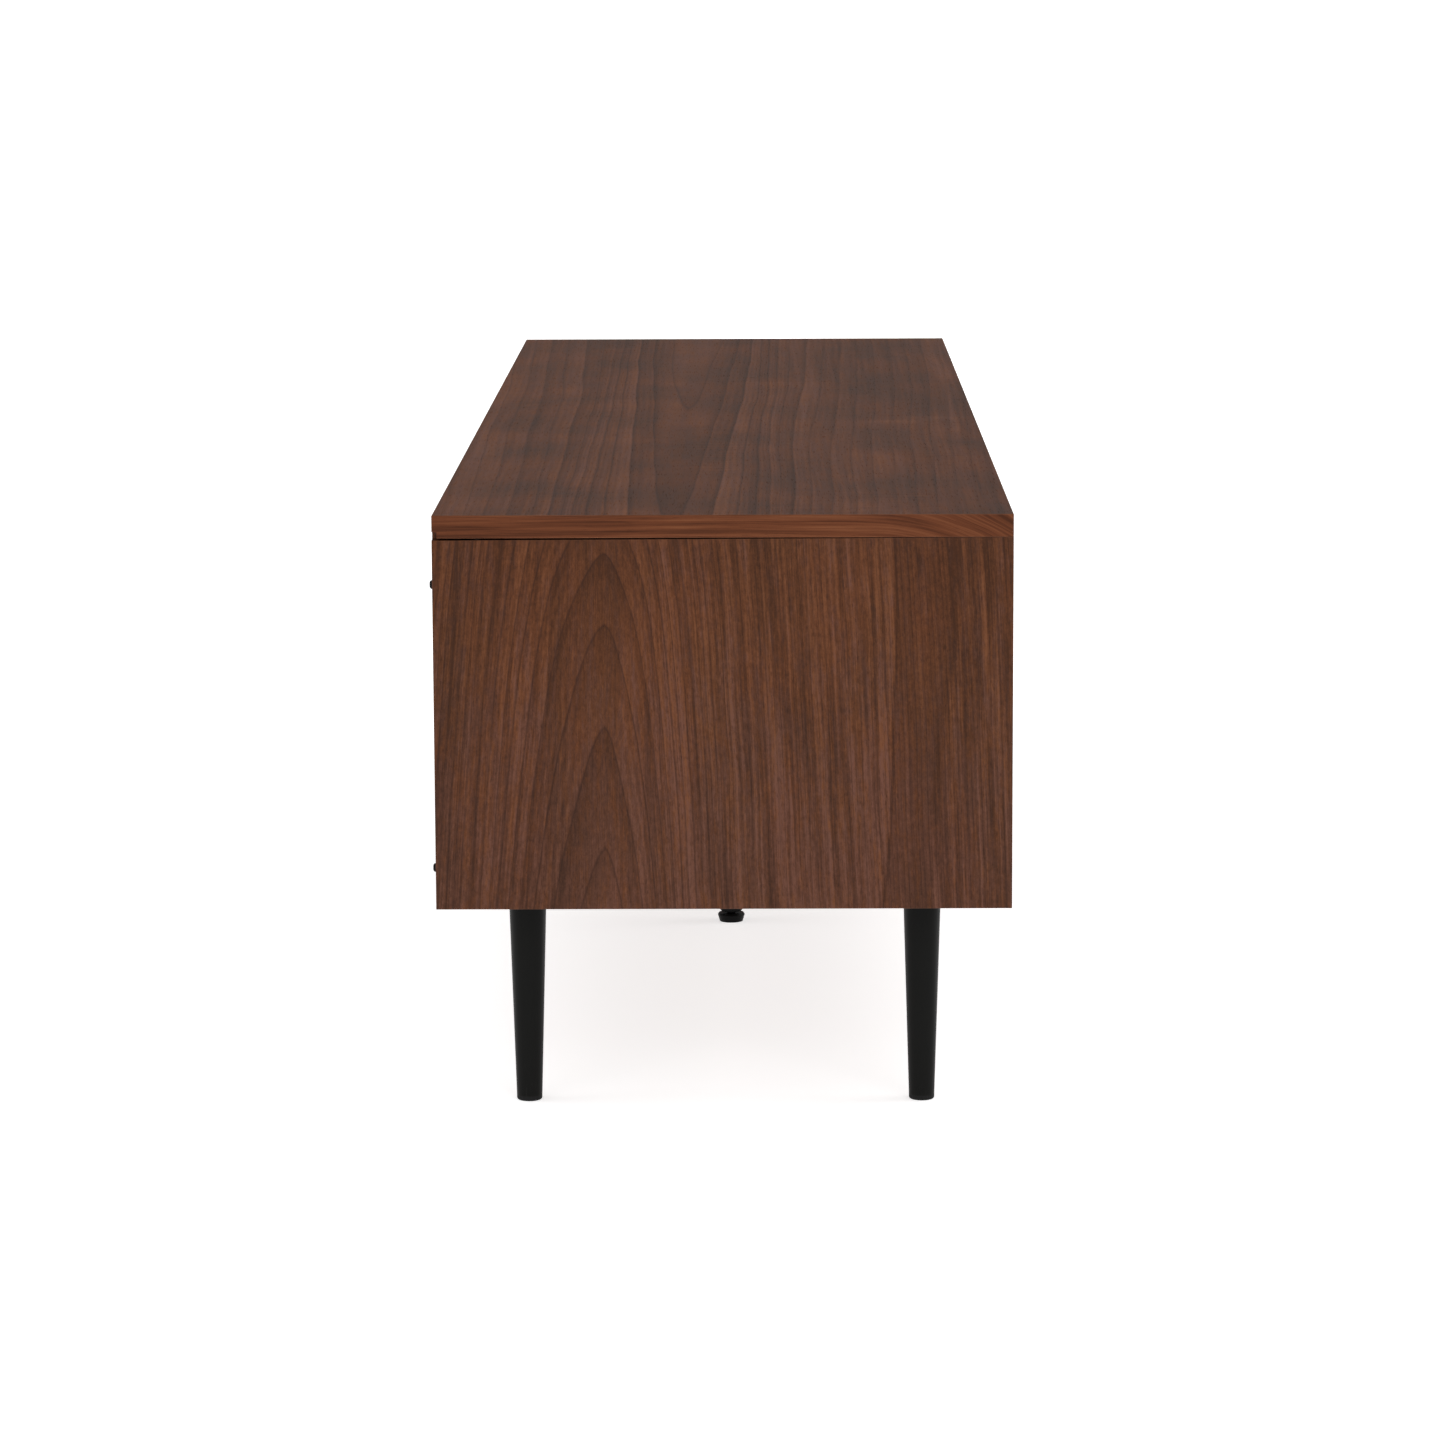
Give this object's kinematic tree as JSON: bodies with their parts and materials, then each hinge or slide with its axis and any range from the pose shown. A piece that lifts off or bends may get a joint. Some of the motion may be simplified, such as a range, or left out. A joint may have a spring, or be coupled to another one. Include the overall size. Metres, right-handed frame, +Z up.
{
  "type": "sideboard buffet",
  "caption": "Low walnut sideboard on round tapered black legs, with hinged doors, middle drawers, shelves and an adjustable support foot under the middle.",
  "frame": {"origin": "on the floor under the middle of the carcass, at the centre of the support foot's base", "axes": "+X along the length, -Y out of the fronts, +Z up"},
  "size_m": [1.6, 0.4697, 0.48],
  "materials": {
    "carcass_walnut": "satin walnut veneer",
    "front_walnut": "satin walnut veneer",
    "drawer_birch": "clear-lacquered birch plywood",
    "beech": "plain beech",
    "black_paint": "satin black",
    "black_steel": "black oxide",
    "zinc_steel": "bright zinc plate",
    "cast_zinc": "die-cast zinc",
    "black_plastic": "matt black plastic",
    "brown_plastic": "brown plastic"
  },
  "bodies": {
    "carcass": {"top_panel": "carcass_walnut", "end_panel_left": "carcass_walnut", "end_panel_right": "carcass_walnut", "bottom_panel": "carcass_walnut", "divider_left": "carcass_walnut", "divider_right": "carcass_walnut", "back_panel": "carcass_walnut", "back_panel_screws": "black_steel", "shelf_left": "carcass_walnut", "shelf_right": "carcass_walnut", "shelf_pins": "zinc_steel", "wood_dowels": "beech", "cam_bolts": "zinc_steel", "cam_locks": "cast_zinc", "leg_front_left": "black_paint", "leg_front_right": "black_paint", "leg_rear_left": "black_paint", "leg_rear_right": "black_paint", "leg_mounting_plates": "black_paint", "leg_plate_screws": "black_steel", "leg_glides": "black_plastic", "centre_support_leg": "black_paint", "levelling_insert": "black_plastic", "hinge_mounting_plates": "zinc_steel", "hinge_arms": "zinc_steel", "hardware_screws": "zinc_steel", "magnetic_catches": "brown_plastic", "drawer_upper_rails_outer": "zinc_steel", "drawer_lower_rails_outer": "zinc_steel"},
    "levelling_foot": {"levelling_foot": "black_steel"},
    "door_left": {"door_left_panel": "front_walnut", "door_left_hinge_cups": "zinc_steel", "door_left_hinge_pins": "zinc_steel", "door_left_cup_screws": "zinc_steel", "door_left_knob": "black_paint", "door_left_knob_screw": "zinc_steel", "door_left_strike_plate": "zinc_steel"},
    "door_right": {"door_right_panel": "front_walnut", "door_right_hinge_cups": "zinc_steel", "door_right_hinge_pins": "zinc_steel", "door_right_cup_screws": "zinc_steel", "door_right_knob": "black_paint", "door_right_knob_screw": "zinc_steel", "door_right_strike_plate": "zinc_steel"},
    "drawer_upper": {"drawer_upper_front": "front_walnut", "drawer_upper_box_sides": "drawer_birch", "drawer_upper_box_ends": "drawer_birch", "drawer_upper_box_bottom": "drawer_birch", "drawer_upper_knob": "black_paint", "drawer_upper_screws": "zinc_steel", "drawer_upper_rails_inner": "zinc_steel"},
    "drawer_upper_rails": {"drawer_upper_rails_middle": "zinc_steel"},
    "drawer_lower": {"drawer_lower_front": "front_walnut", "drawer_lower_box_sides": "drawer_birch", "drawer_lower_box_ends": "drawer_birch", "drawer_lower_box_bottom": "drawer_birch", "drawer_lower_knob": "black_paint", "drawer_lower_screws": "zinc_steel", "drawer_lower_rails_inner": "zinc_steel"},
    "drawer_lower_rails": {"drawer_lower_rails_middle": "zinc_steel"}
  },
  "joints": [
    {"name": "levelling_foot_height", "type": "slide", "parent": "carcass", "child": "levelling_foot", "axis": [0, 0, 1], "range_m": [-0.012, 0]},
    {"name": "door_left_hinge", "type": "hinge", "parent": "carcass", "child": "door_left", "pos_m": [-0.7605, -0.2148, 0.325], "axis": [0, 0, -1], "range_deg": [0, 95]},
    {"name": "door_right_hinge", "type": "hinge", "parent": "carcass", "child": "door_right", "pos_m": [0.7605, -0.2148, 0.325], "axis": [0, 0, 1], "range_deg": [0, 95]},
    {"name": "drawer_upper_slide", "type": "slide", "parent": "carcass", "child": "drawer_upper", "axis": [0, -1, 0], "range_m": [0, 0.35]},
    {"name": "drawer_upper_rail_slide", "type": "slide", "parent": "carcass", "child": "drawer_upper_rails", "axis": [0, -1, 0], "range_m": [0, 0.175]},
    {"name": "drawer_lower_slide", "type": "slide", "parent": "carcass", "child": "drawer_lower", "axis": [0, -1, 0], "range_m": [0, 0.35]},
    {"name": "drawer_lower_rail_slide", "type": "slide", "parent": "carcass", "child": "drawer_lower_rails", "axis": [0, -1, 0], "range_m": [0, 0.175]}
  ],
  "couplings": [
    {"joint": "drawer_upper_rail_slide", "follows": "drawer_upper_slide", "ratio": 0.5},
    {"joint": "drawer_lower_rail_slide", "follows": "drawer_lower_slide", "ratio": 0.5}
  ]
}
